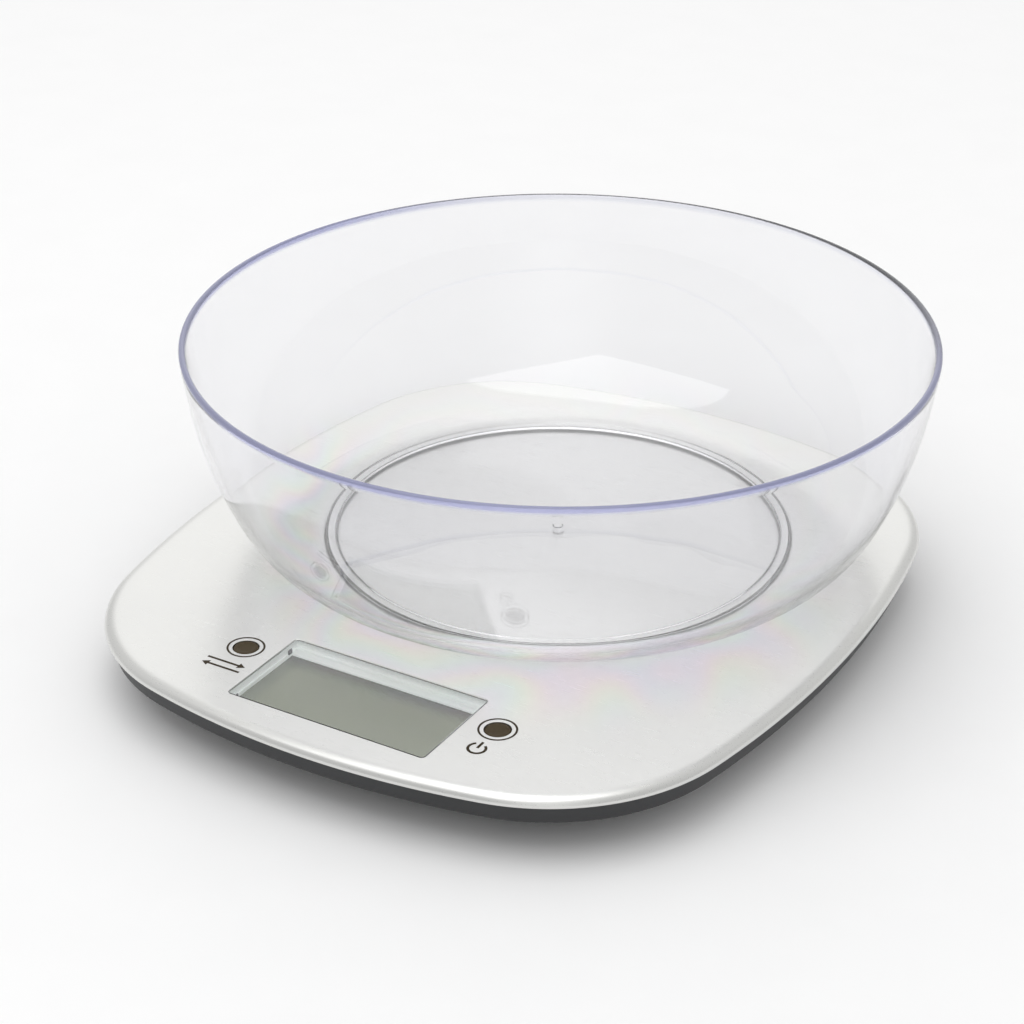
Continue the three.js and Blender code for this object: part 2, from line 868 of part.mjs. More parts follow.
function buildBowl() {
  const outer = bowlWallLine(0, 4, 4);
  const inner = bowlWallLine(bowlWall, 4, 4).filter((p) => p.y > bowlFloorTop + 0.2).reverse();
  const rim = [
    [bowlRimRadius - 0.5, bowlHeight],
    [bowlRimRadius - bowlWall + 0.5, bowlHeight],
  ];
  const profile = [
    [0, bowlFloorUnderside],
    [bowlFootRadius - 2.5, bowlFloorUnderside],
    [bowlFootRadius - 2.2, 0],
    [bowlFootRadius - 0.4, 0],
    [bowlFootRadius, 0.4],
    ...outer.map((p) => [p.x, p.y]),
    ...rim,
    ...inner.map((p) => [p.x, p.y]),
    [bowlFootRadius + 0.5, bowlFloorTop],
    [0, bowlFloorTop],
  ];
  add('bowl', turned(profile, 56), clearPlastic(), 0, bowlSetback, plateTop + bowlLift);
}

// ---------------------------------------------------------------- assembly

buildWeighingPlate();
buildTopCarrier();
buildBaseTray();
buildBatteryDoor();
buildDisplay();
buildCircuitBoard();
buildKey('left', -keyX);
buildKey('right', keyX);
corners.forEach(buildCorner);
buildBatteries();
buildScrews();
buildLeads();
buildBowl();

// The bowl overhangs the plate's back edge, so the bounding box runs from the plate's front to its rim.
scale.position.y = -(bowlSetback + bowlRimRadius - plateHalfDepth) / 2;

export default scale;
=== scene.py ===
# %% [markdown]
# # A kitchen scale with a clear mixing bowl
#
# This lesson dresses a kitchen scale whose mechanical parts are already in place: a pressed steel
# plate on a black tray, a sunken display between two keys, and a loose clear bowl.
# The frame that is loaded first fixes every size and place, so each piece below is built around
# a box read from it and then rides on the body that carries it.

# %% Load the frame
import math

import bmesh
import bpy
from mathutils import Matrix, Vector


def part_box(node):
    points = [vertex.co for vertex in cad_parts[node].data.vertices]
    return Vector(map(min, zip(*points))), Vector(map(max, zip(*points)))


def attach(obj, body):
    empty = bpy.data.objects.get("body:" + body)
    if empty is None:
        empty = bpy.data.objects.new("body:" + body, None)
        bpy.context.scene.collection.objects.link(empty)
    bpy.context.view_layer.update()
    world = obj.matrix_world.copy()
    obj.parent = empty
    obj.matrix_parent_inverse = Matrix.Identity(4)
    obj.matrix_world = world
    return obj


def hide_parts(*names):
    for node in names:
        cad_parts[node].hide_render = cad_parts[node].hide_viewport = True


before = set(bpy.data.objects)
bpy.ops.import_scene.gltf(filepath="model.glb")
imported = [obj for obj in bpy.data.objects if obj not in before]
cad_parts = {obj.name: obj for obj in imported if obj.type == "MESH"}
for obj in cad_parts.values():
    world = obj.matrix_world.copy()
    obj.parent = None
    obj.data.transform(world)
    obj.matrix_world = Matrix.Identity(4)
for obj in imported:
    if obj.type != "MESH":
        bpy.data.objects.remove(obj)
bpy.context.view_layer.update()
MM = 0.001


def box_mm(node):
    """Lowest and highest corner of a CAD node, in millimetres."""
    low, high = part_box(node)
    return low / MM, high / MM


# %% [markdown]
# ## Camera
# A product shot of a scale is taken from the front right corner with a long lens, so that the
# plate's four sides stay nearly parallel. The camera is placed on a sphere round an aim point:
# a turn, a height angle and a distance are easier to reason about than three coordinates.

# %% Camera
aim = Vector((-5.9, -2.4, 29.5)) * MM
camera_turn = math.radians(30.9)
camera_rise = math.radians(28.1)
camera_distance = 707.4 * MM

camera_data = bpy.data.cameras.new("camera")
camera_data.lens = 91.5
camera_data.clip_start = 0.01
camera = bpy.data.objects.new("camera", camera_data)
bpy.context.scene.collection.objects.link(camera)
outward = Vector((
    math.sin(camera_turn) * math.cos(camera_rise),
    -math.cos(camera_turn) * math.cos(camera_rise),
    math.sin(camera_rise),
))
camera.location = aim + outward * camera_distance
camera.rotation_euler = (-outward).to_track_quat("-Z", "Y").to_euler()
bpy.context.scene.camera = camera
print("camera at, mm:", [round(v / MM) for v in camera.location])

# %% [markdown]
# ## Colours and nodes
# Colours are written as the sRGB hex values that a paint chart or a screen shows. The renderer
# works in linear light, so one function turns them. A second small function adds a shader node
# with its settings and links, which keeps each material short enough to read.

# %% Colour and node helpers
def hex_colour(code):
    """Linear RGBA from an sRGB hex string."""
    channels = [int(code[i:i + 2], 16) / 255 for i in (1, 3, 5)]
    linear = [c / 12.92 if c <= 0.04045 else ((c + 0.055) / 1.055) ** 2.4 for c in channels]
    return (*linear, 1.0)


def add(tree, kind, values=None, **settings):
    """One shader node: settings are its own options, values fill or link its inputs."""
    made = tree.nodes.new(kind)
    for name, setting in settings.items():
        setattr(made, name, setting)
    for socket, value in (values or {}).items():
        if isinstance(value, bpy.types.NodeSocket):
            tree.links.new(value, made.inputs[socket])
        elif isinstance(value, str):
            made.inputs[socket].default_value = hex_colour(value)
        else:
            made.inputs[socket].default_value = value
    return made


def per_mm(size):
    """Texture scale for grains of a size in millimetres, in a world of metres."""
    return 1.0 / (size * MM)


def new_material(name, colour, **values):
    """A material with one Principled shader, its inputs named with underscores for spaces."""
    material = bpy.data.materials.new(name)
    material.use_nodes = True
    tree = material.node_tree
    shader = tree.nodes["Principled BSDF"]
    shader.inputs["Base Color"].default_value = hex_colour(colour)
    for socket, value in values.items():
        shader.inputs[socket.replace("_", " ")].default_value = value
    material.diffuse_color = hex_colour(colour)
    return material, tree, shader


# Colour inputs A and B of a Mix node come after its number and vector inputs.
MIX_A, MIX_B, MIX_COLOUR = 6, 7, 2
cloud_size = 22.0


def noise(tree, place, size, detail):
    """Soft noise with grains `size` mm across."""
    return add(tree, "ShaderNodeTexNoise", {
        "Vector": place, "Scale": per_mm(size), "Detail": detail,
    }).outputs[0]


def calculate(tree, operation, *values):
    """Result of one Math node, its inputs numbers or sockets."""
    return add(tree, "ShaderNodeMath", dict(enumerate(values)), operation=operation).outputs[0]


def fade(tree, value, start, end, low=0.0, high=1.0, curve="SMOOTHSTEP"):
    """Low where the value is at `start`, high where it is at `end`."""
    return add(tree, "ShaderNodeMapRange", {
        "Value": value, "From Min": start, "From Max": end, "To Min": low, "To Max": high,
    }, interpolation_type=curve).outputs[0]


def blend(tree, share, first, second):
    """The first colour where the share is 0 and the second where it is 1."""
    return add(tree, "ShaderNodeMix", {
        0: share, MIX_A: first, MIX_B: second,
    }, data_type="RGBA").outputs[MIX_COLOUR]


def mottle(tree, shader, size, light, dark, gloss, relief, stretch=(1, 1, 1)):
    """Uneven roughness and relief from a noise with grains `size` mm across, over cloudy colour.

    gloss is the roughness from the noise's low to its high end, relief the bump's depth in mm.
    """
    place = add(tree, "ShaderNodeTexCoord").outputs["Object"]
    spread = add(tree, "ShaderNodeMapping", {"Vector": place, "Scale": stretch}).outputs[0]
    grain = noise(tree, spread, size, 3.0)
    paint = blend(tree, noise(tree, place, cloud_size, 2.0), light, dark)
    rough = fade(tree, grain, 0.0, 1.0, gloss[0], gloss[1], "LINEAR")
    bump = add(tree, "ShaderNodeBump", {"Height": grain, "Distance": relief * MM, "Strength": 1.0})
    tree.links.new(paint, shader.inputs["Base Color"])
    tree.links.new(rough, shader.inputs["Roughness"])
    tree.links.new(bump.outputs[0], shader.inputs["Normal"])
    return place, paint


print("linear mid grey:", [round(c, 3) for c in hex_colour("#808080")])

# %% [markdown]
# ## Studio
# The scale stands on a white sweep in a light tent. Bare metal has no colour of its own: it shows
# whatever it mirrors, and satin steel looks even and pale only when every direction is pale. So the
# tent gives nearly all of the light, and two large weak softboxes, one low behind the object and one
# above it, only shape it. The tent's side walls are dimmer, so the plate darkens towards its left
# and right, and so is the wall behind the camera. These give the clear bowl its outlines too: glass
# in a room that is white all round can't be seen.

# %% Floor and room light
# Brightness of the tent, plain white being 1.
tent_behind_camera, tent_beyond_object = 0.8, 1.0
tent_middle, tent_sides = 1.06, 0.68
tent_low, tent_overhead = 1.1, 1.24


def room_light():
    """Light tent that brightens upwards and dims at its sides and behind the camera."""
    world = bpy.data.worlds.new("studio")
    world.use_nodes = True
    tree = world.node_tree
    way = add(tree, "ShaderNodeTexCoord").outputs["Generated"]

    def reach(direction):
        """How far the way looked in points along a direction."""
        return add(tree, "ShaderNodeVectorMath", {
            0: way, 1: direction,
        }, operation="DOT_PRODUCT").outputs["Value"]

    beyond = reach(Vector((-math.sin(camera_turn), math.cos(camera_turn), 0.0)))
    across = reach(Vector((math.cos(camera_turn), math.sin(camera_turn), 0.0)))
    rise = add(tree, "ShaderNodeSeparateXYZ", {0: way}).outputs["Z"]
    facing = fade(tree, beyond, -0.9, 0.8, tent_behind_camera, tent_beyond_object)
    sideways = calculate(tree, "ABSOLUTE", across)
    fall_off = fade(tree, sideways, 0.0, 0.5, tent_middle, tent_sides)
    height = fade(tree, rise, 0.0, 1.0, tent_low, tent_overhead, "LINEAR")
    walls = calculate(tree, "MULTIPLY", facing, fall_off)
    background = tree.nodes["Background"]
    background.inputs["Color"].default_value = hex_colour("#ffffff")
    tree.links.new(calculate(tree, "MULTIPLY", walls, height), background.inputs["Strength"])
    bpy.context.scene.world = world


def softbox(name, turn, rise, distance, width, height, watts):
    """A large area lamp that looks at the aim point; turn and rise say where it stands."""
    data = bpy.data.lights.new(name, "AREA")
    data.shape = "RECTANGLE"
    data.size = width
    data.size_y = height
    data.energy = watts
    lamp = bpy.data.objects.new(name, data)
    way = Vector((math.sin(turn) * math.cos(rise), -math.cos(turn) * math.cos(rise), math.sin(rise)))
    lamp.location = aim + way * distance
    lamp.rotation_euler = (-way).to_track_quat("-Z", "Y").to_euler()
    bpy.context.scene.collection.objects.link(lamp)


def studio_floor():
    """A wide white floor, with the faint unevenness of matt painted board."""
    half = 6.0
    mesh = bpy.data.meshes.new("studio_floor")
    corners = [(-half, -half, 0), (half, -half, 0), (half, half, 0), (-half, half, 0)]
    mesh.from_pydata(corners, [], [(0, 1, 2, 3)])
    floor = bpy.data.objects.new("studio_floor", mesh)
    floor.location.z = -0.2 * MM
    bpy.context.scene.collection.objects.link(floor)
    material, tree, shader = new_material("matt_white_board", "#fbfbfb", Specular_IOR_Level=0.1)
    mottle(tree, shader, 9.0, "#fcfcfc", "#f9f9f9", (0.8, 0.9), 0.01)
    mesh.materials.append(material)


bpy.context.scene.view_settings.view_transform = "Standard"
room_light()
studio_floor()
softbox("softbox_behind", math.pi + camera_turn, math.radians(31),
        distance=1.7, width=1.7, height=1.0, watts=0.35)
softbox("softbox_above", camera_turn - 0.9, math.radians(76),
        distance=1.2, width=1.1, height=1.1, watts=3.2)

# %% [markdown]
# ## Mesh helpers
# Every piece is drawn as real geometry in millimetres and turned to metres once, when its mesh is
# made. Three kinds of shape cover nearly all of this object: a stack of closed rings, a profile
# turned about an axis, and a flat sheet with holes. Corners are rounded in the outline itself,
# because moulded and pressed parts have no sharp edges, and an edge without a radius catches no
# light. Faces are smooth, and an edge stays crisp only where two faces meet at a clear angle.

# %% Mesh helpers
degrees_per_step = 15


def mark_crisp(bm, degrees):
    """Keeps an edge crisp where its two faces meet at this angle or more."""
    limit = math.radians(degrees)
    for edge in bm.edges:
        edge.smooth = len(edge.link_faces) == 2 and edge.calc_face_angle(0.0) < limit


def finish_mesh(bm, name, crisp=38.0):
    """Turns a bmesh drawn in millimetres into an object with smooth faces and crisp real edges."""
    bmesh.ops.remove_doubles(bm, verts=bm.verts, dist=1e-5)
    bmesh.ops.recalc_face_normals(bm, faces=bm.faces)
    bmesh.ops.scale(bm, vec=(MM, MM, MM), verts=bm.verts)
    for face in bm.faces:
        face.smooth = True
    mark_crisp(bm, crisp)
    mesh = bpy.data.meshes.new(name)
    bm.to_mesh(mesh)
    bm.free()
    piece = bpy.data.objects.new(name, mesh)
    bpy.context.scene.collection.objects.link(piece)
    return piece


def ring(bm, points, height):
    """Vertices of a closed outline at one height."""
    return [bm.verts.new((x, y, height)) for x, y in points]


def bridge(bm, low, high):
    """A band of faces between two closed rings of equal length."""
    count = len(low)
    for i in range(count):
        after = (i + 1) % count
        bm.faces.new((low[i], low[after], high[after], high[i]))


def stack(bm, outline, levels, cap_low=True, cap_high=True):
    """Rings of one outline at [inset, height] levels, joined in order and capped."""
    rings = [ring(bm, outline(inset), height) for inset, height in levels]
    for low, high in zip(rings, rings[1:]):
        bridge(bm, low, high)
    if cap_low:
        bm.faces.new(rings[0][::-1])
    if cap_high:
        bm.faces.new(rings[-1])
    return rings


def arc(centre, radius, start, end, steps):
    """Points of an arc, angles in degrees, both ends included."""
    points = []
    for i in range(steps + 1):
        angle = math.radians(start + (end - start) * i / steps)
        points.append((centre[0] + radius * math.cos(angle), centre[1] + radius * math.sin(angle)))
    return points


def rounded(corners):
    """An open path through (x, y, radius) corners, each corner between its ends an arc."""
    path = []
    for i, (x, y, radius) in enumerate(corners):
        if radius <= 0 or i in (0, len(corners) - 1):
            path.append((x, y))
            continue
        here = Vector((x, y))
        before = (Vector(corners[i - 1][:2]) - here).normalized()
        after = (Vector(corners[i + 1][:2]) - here).normalized()
        half = before.angle(after) / 2
        reach = radius / math.tan(half)
        centre = here + (before + after).normalized() * (radius / math.sin(half))
        first = here + before * reach - centre
        last = here + after * reach - centre
        steps = max(2, round(math.degrees(math.pi - 2 * half) / degrees_per_step))
        turn = first.angle_signed(last)
        for step in range(steps + 1):
            angle = -turn * step / steps
            arm = Vector((
                first.x * math.cos(angle) - first.y * math.sin(angle),
                first.x * math.sin(angle) + first.y * math.cos(angle),
            ))
            path.append((centre.x + arm.x, centre.y + arm.y))
    return path


def rectangle(centre, half_width, half_depth, radius, steps=5):
    """An outline function of a rounded rectangle; an inset shrinks it evenly."""
    def outline(inset):
        points = []
        wide, deep, bend = half_width - inset, half_depth - inset, max(radius - inset, 0.05)
        for sx, sy, start in ((1, 1, 0), (-1, 1, 90), (-1, -1, 180), (1, -1, 270)):
            middle = (centre[0] + sx * (wide - bend), centre[1] + sy * (deep - bend))
            points += arc(middle, bend, start, start + 90, steps)
        return points
    return outline


def circle(centre, radius, sides=64):
    """An outline function of a circle; an inset shrinks its radius."""
    return lambda inset: arc(centre, radius - inset, 0, 360 - 360 / sides, sides - 1)


def turned(bm, profile, centre=(0, 0), sides=64):
    """A body turned about an upright axis from (radius, height) points, closed on the axis."""
    rings = []
    for radius, height in profile:
        if radius < 1e-6:
            rings.append([bm.verts.new((centre[0], centre[1], height))])
        else:
            rings.append(ring(bm, circle(centre, radius, sides)(0), height))
    for low, high in zip(rings, rings[1:]):
        if len(low) == 1 and len(high) == 1:
            continue
        if len(low) == 1 or len(high) == 1:
            point, loop = (low[0], high) if len(low) == 1 else (high[0], low)
            for i in range(sides):
                bm.faces.new((point, loop[i], loop[(i + 1) % sides]))
        else:
            bridge(bm, low, high)


def fill_between(bm, loops):
    """A flat face between an outer ring and the rings of its holes."""
    edges = []
    for loop in loops:
        for i in range(len(loop)):
            pair = (loop[i], loop[(i + 1) % len(loop)])
            edges.append(bm.edges.get(pair) or bm.edges.new(pair))
    bmesh.ops.triangle_fill(bm, edges=edges, use_beauty=True, use_dissolve=False)


def combine(piece, tool, operation):
    """Cuts a tool out of a piece, or joins it on, and throws the tool away."""
    modifier = piece.modifiers.new("combine", "BOOLEAN")
    modifier.operation = operation
    modifier.solver = "EXACT"
    modifier.object = tool
    bpy.context.view_layer.update()
    graph = bpy.context.evaluated_depsgraph_get()
    mesh = bpy.data.meshes.new_from_object(piece.evaluated_get(graph))
    piece.modifiers.clear()
    piece.data = mesh
    bpy.data.objects.remove(tool)


def dress(piece, material, body, slot, *nodes):
    """Gives a piece its material and its body, and hides the CAD nodes that it stands for; the slot is
    not used.
    """
    piece.data.materials.clear()
    piece.data.materials.append(material)
    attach(piece, body)
    if nodes:
        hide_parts(*nodes)
    print(f"{piece.name}: {len(piece.data.polygons)} faces, rides on {body}")


# %% [markdown]
# ## The outline that the shells share
# The plate is neither a rectangle nor an ellipse. Each side is a long shallow arc and each corner
# a short one, tangent to both, so the edge flows without a kink. Drawn from three radii, it can be
# offset inwards exactly: every arc keeps its centre and loses the inset from its radius. The plate,
# and the tray under it, are then stacks of the same outline at different insets.

# %% Shell outline
plate_low, plate_high = box_mm("weighing_plate")
plate_top = plate_high.z
plate_centre_y = (plate_low.y + plate_high.y) / 2
plate_half_width = (plate_high.x - plate_low.x) / 2
plate_half_depth = (plate_high.y - plate_low.y) / 2
side_bulge_radius = 308.0
end_bulge_radius = 212.0
corner_radius = 54.0


def corner_centre():
    """The centre of the corner arc that touches the side's and the end's arc from inside."""
    side = Vector((plate_half_width - side_bulge_radius, 0.0))
    end = Vector((0.0, plate_half_depth - end_bulge_radius))
    to_side = side_bulge_radius - corner_radius
    to_end = end_bulge_radius - corner_radius
    apart = (end - side).length
    along = (to_side ** 2 - to_end ** 2 + apart ** 2) / (2 * apart)
    across = math.sqrt(to_side ** 2 - along ** 2)
    way = (end - side).normalized()
    return side + way * along + Vector((-way.y, way.x)) * across


def shell_outline(inset):
    """The closed outline, anticlockwise, drawn parallel to the plate's edge."""
    corner = corner_centre()
    side_x = plate_half_width - side_bulge_radius
    end_y = plate_half_depth - end_bulge_radius
    side_turn = math.degrees(math.atan2(corner.y, corner.x - side_x))
    end_turn = math.degrees(math.atan2(corner.y - end_y, corner.x))
    quarter = arc((side_x, 0), side_bulge_radius - inset, 0, side_turn, 14)[:-1]
    quarter += arc(corner, corner_radius - inset, side_turn, end_turn, 30)[:-1]
    quarter += arc((0, end_y), end_bulge_radius - inset, end_turn, 90, 18)
    back_left = [(-x, y) for x, y in quarter[::-1]][1:]
    front_left = [(-x, -y) for x, y in quarter][1:]
    front_right = [(x, -y) for x, y in quarter[::-1]][1:-1]
    whole = quarter + back_left + front_left + front_right
    return [(x, y + plate_centre_y) for x, y in whole]


print("points in the outline:", len(shell_outline(0)))

# %% [markdown]
# ## Satin stainless steel
# The plate is pressed from ferritic stainless sheet with a satin finish: fine enough that no
# single brush line shows from arm's length, coarse enough that lamps melt into soft patches.
# It is a metal, so the shader's metallic is 1 and the colour is its mirror tint, a warm light
# grey. A noise stretched along X stands for the satin lines; they are drawn 0.25 mm apart, coarser
# than the real ones, because finer ones would be lost between the render's dots.

# %% Satin stainless steel
def satin_steel():
    material, tree, shader = new_material("satin_stainless_steel", "#dcdcd9", Metallic=1.0)
    mottle(tree, shader, 0.25, "#dfdfdc", "#dadad8", (0.24, 0.34), 0.0006, (0.03, 1, 1))
    return material


steel_finish = satin_steel()

# %% [markdown]
# ## Weighing plate
# The sheet is 0.6 mm thick and rolls over at its rim, as a pressing does, ending in a short lip.
# A block with a bevel would show a straight chamfer, so the roll is a quarter ellipse in twelve
# steps. The top is one flat sheet with three openings, and a narrow flat band runs round the roll
# and round each opening: it keeps the smooth shading of the bends from bleeding into the flat.

# %% Weighing plate
sheet = 0.6
roll_width = 3.4
window_low, window_high = box_mm("window_lens")
window_centre = ((window_low.x + window_high.x) / 2, (window_low.y + window_high.y) / 2)
lens_flange = 1.6
window_half_width = (window_high.x - window_low.x) / 2 - lens_flange
window_half_depth = (window_high.y - window_low.y) / 2 - lens_flange
window_corner = 1.2
key_gap = 0.15
key_collar = 1.3
key_cap_radius = (box_mm("key_left")[1].x - box_mm("key_left")[0].x) / 2 - key_collar
# Radii that the pressing tool leaves at the openings, and the flat band beside them.
window_edge, key_edge, flat_band = 0.3, 0.12, 0.6


def key_place(side):
    """Middle of a key seen from above."""
    low, high = box_mm(f"key_{side}")
    return (low.x + high.x) / 2, (low.y + high.y) / 2


def key_hole(side):
    return circle(key_place(side), key_cap_radius + key_gap, 64)


def roll_levels(inset, width, lip, top, steps=12):
    """Quarter-ellipse levels from a vertical lip in to a flat top."""
    levels = []
    for i in range(steps + 1):
        turn = math.radians(90) * i / steps
        levels.append((inset + width * (1 - math.cos(turn)), lip + (top - lip) * math.sin(turn)))
    return levels


def build_plate():
    bm = bmesh.new()
    flat_inset = roll_width + 1.2
    lip = plate_low.z
    roll_low = lip + 0.3
    outside = [(0.12, lip), (0.0, lip + 0.12)] + roll_levels(0.0, roll_width, roll_low, plate_top)
    inside = [(sheet, lip)] + roll_levels(sheet, roll_width - sheet, roll_low, plate_top - sheet)
    outer = stack(bm, shell_outline, outside + [(flat_inset, plate_top)], False, False)
    inner = stack(bm, shell_outline, inside + [(flat_inset, plate_top - sheet)], False, False)
    bridge(bm, outer[0], inner[0])
    top_loops = [outer[-1]]
    bottom_loops = [inner[-1]]
    window = rectangle(window_centre, window_half_width, window_half_depth, window_corner, 6)
    openings = ((window, window_edge), (key_hole("left"), key_edge), (key_hole("right"), key_edge))
    edge_steps = 4
    for outline, edge in openings:
        levels = [(-flat_band, plate_top), (-edge, plate_top)]
        for i in range(1, edge_steps + 1):
            turn = math.radians(90) * i / edge_steps
            levels.append((-edge * (1 - math.sin(turn)), plate_top - edge * (1 - math.cos(turn))))
        levels += [(0.0, plate_top - sheet), (-flat_band, plate_top - sheet)]
        rings = stack(bm, outline, levels, False, False)
        top_loops.append(rings[0])
        bottom_loops.append(rings[-1])
    fill_between(bm, top_loops)
    fill_between(bm, bottom_loops)
    return finish_mesh(bm, "satin_plate")


dress(build_plate(), steel_finish, "housing", "bright_steel", "weighing_plate")

# %% [markdown]
# ## Moulded black ABS
# The tray is injection moulded ABS. Its mould was spark eroded, which leaves a fine even grain of
# about 0.3 mm that breaks up reflections, so black plastic looks charcoal at a glancing angle.

# %% Plastics
def moulded(name, light, dark, grain, gloss, relief, **values):
    """Injection moulded plastic with the even grain of its mould."""
    material, tree, shader = new_material(name, light, **values)
    mottle(tree, shader, grain, light, dark, gloss, relief)
    return material


black_abs = moulded("black_moulded_abs", "#2a2b2d", "#232426", 0.35, (0.42, 0.56), 0.012, IOR=1.54)

# %% [markdown]
# ## Base tray
# The tray closes the scale from below. Seen from the front only its upper band shows, a dark line
# set back under the bright lip. It is cut like the mould cuts it: a shell, a walled box for the
# batteries joined on, then the foot holes, the screw wells and the seat of the battery door.

# %% Base tray
tray_low, tray_high = box_mm("base_tray")
door_low, door_high = box_mm("battery_door")
battery_y = (door_low.y + door_high.y) / 2
compartment_half = (26.0, 13.2)
foot_names = ("front_left", "front_right", "back_left", "back_right")
foot_hole_radius = 8.0
foot_hole_top = 6.0
inner_foot = 4.6
boss_radius, boss_top = 4.4, 7.2
well_radius, well_top = 3.3, 5.7
shank_hole_radius, shank_hole_top = 1.5, 8.0
door_gap = 0.4
screw_names = [f"base_screw_{i}" for i in range(1, 7)]


def middle(node):
    """Middle of a node seen from above."""
    low, high = box_mm(node)
    return (low.x + high.x) / 2, (low.y + high.y) / 2


def build_tray():
    bottom = tray_low.z
    top = tray_high.z
    bm = bmesh.new()
    stack(bm, shell_outline, [
        (16.4, bottom), (15.2, bottom), (14.5, bottom + 0.12),
        (3.2, 9.45), (2.75, 9.7), (2.4, 10.0), (2.1, 10.35), (1.95, 10.8),
        (1.25, top - 0.35), (1.45, top - 0.08), (1.8, top),
    ])
    tray = finish_mesh(bm, "black_tray", 30.0)
    bm = bmesh.new()
    stack(bm, shell_outline, [(15.4, 5.2), (4.4, 10.8), (2.8, 11.3), (2.8, top + 1)])
    combine(tray, finish_mesh(bm, "hollow"), "DIFFERENCE")
    bm = bmesh.new()
    wall = 1.4
    outer = rectangle((0, battery_y), compartment_half[0] + wall, compartment_half[1] + wall, 1.2)
    stack(bm, outer, [(0, inner_foot), (0, top)])
    for name in screw_names:
        stack(bm, circle(middle(name), boss_radius, 32), [(0, inner_foot), (0, boss_top)])
    combine(tray, finish_mesh(bm, "walls"), "UNION")
    bm = bmesh.new()
    inside = rectangle((0, battery_y), *compartment_half, 1.0)
    seat_half = (door_high.x + door_gap, (door_high.y - door_low.y) / 2 + door_gap)
    seat = rectangle((0, battery_y), *seat_half, 1.0)
    seat_top = bottom + 1.5
    rings = stack(bm, seat, [
        (-0.5, bottom - 1), (-0.5, bottom - 0.01), (0, bottom + 0.3), (0, seat_top),
    ], True, False)
    upper = stack(bm, inside, [(0, seat_top), (0, top + 1)], False, True)
    bridge(bm, rings[-1], upper[0])
    for name in foot_names:
        stack(bm, circle(middle(f"foot_pad_{name}"), foot_hole_radius, 64), [
            (-0.35, bottom - 1), (-0.35, bottom), (0, bottom + 0.35), (0, foot_hole_top),
        ])
    for name in screw_names:
        turned(bm, [
            (0, bottom - 1), (well_radius, bottom - 1), (well_radius, bottom),
            (well_radius - 0.2, bottom + 0.2), (well_radius - 0.2, well_top),
            (shank_hole_radius, well_top), (shank_hole_radius, shank_hole_top), (0, shank_hole_top),
        ], middle(name), 32)
    combine(tray, finish_mesh(bm, "cutters"), "DIFFERENCE")
    bm = bmesh.new()
    bm.from_mesh(tray.data)
    mark_crisp(bm, 30.0)
    bm.to_mesh(tray.data)
    bm.free()
    return tray


dress(build_tray(), black_abs, "housing", "black_plastic", "base_tray")

# %% [markdown]
# ## Clear styrene
# The bowl is polished clear polystyrene: refractive index 1.59, no roughness to speak of, and a
# trace of violet dye that makers add to hide the yellow of the raw resin. The dye only shows where
# light runs a long way inside the wall, along the rim, so it is an absorbing volume and not a
# surface colour. The light that the wall pipes up to the rim and out of it is painted light: the
# last two millimetres get a painted violet colour and scatter two fifths of the light, most of all
# on the front side. Clear styrene also keeps stress from the mould: light that passes the bent lower
# wall picks up pale rainbow bands round the floor. They are painted in as a very weak tint that turns
# with the distance from the bowl's axis, and its lower value paints shade on the lower wall.

# %% Clear plastics
bowl_low, bowl_high = box_mm("bowl")
bowl_axis = ((bowl_low.x + bowl_high.x) / 2, (bowl_low.y + bowl_high.y) / 2)


# Distance in mm over which the stress colours run once through the rainbow.
band_width = 13.0


def painted_stress_colour_and_shade(tree, parts, radius, flow):
    """Painted pale rainbow bands and painted shade in the bent lower wall, strongest on the front side.
    """
    bands = calculate(tree, "MULTIPLY", radius, per_mm(band_width))
    hue = calculate(tree, "FRACT", calculate(tree, "MULTIPLY_ADD", flow, 4.0, bands))
    # Painted colour and shade: pale rainbow hues with a value under the clear white, so the lower wall
    # also comes out darker.
    rainbow = add(tree, "ShaderNodeCombineColor", {0: hue, 1: 0.16, 2: 0.93}, mode="HSV")
    low_wall = fade(tree, parts["Z"], (bowl_low.z + 14) * MM, (bowl_low.z + 3) * MM, 0.0, 0.6)
    outside_floor = fade(tree, radius, 65.0 * MM, 70.0 * MM)
    front_side = fade(tree, parts["Y"], 30.0 * MM, -30.0 * MM, 0.12, 1.0)
    low_ring = calculate(tree, "MULTIPLY", low_wall, outside_floor)
    painted_stress_share = calculate(tree, "MULTIPLY", low_ring, front_side)
    return blend(tree, painted_stress_share, "#f9f9fa", rainbow.outputs[0])


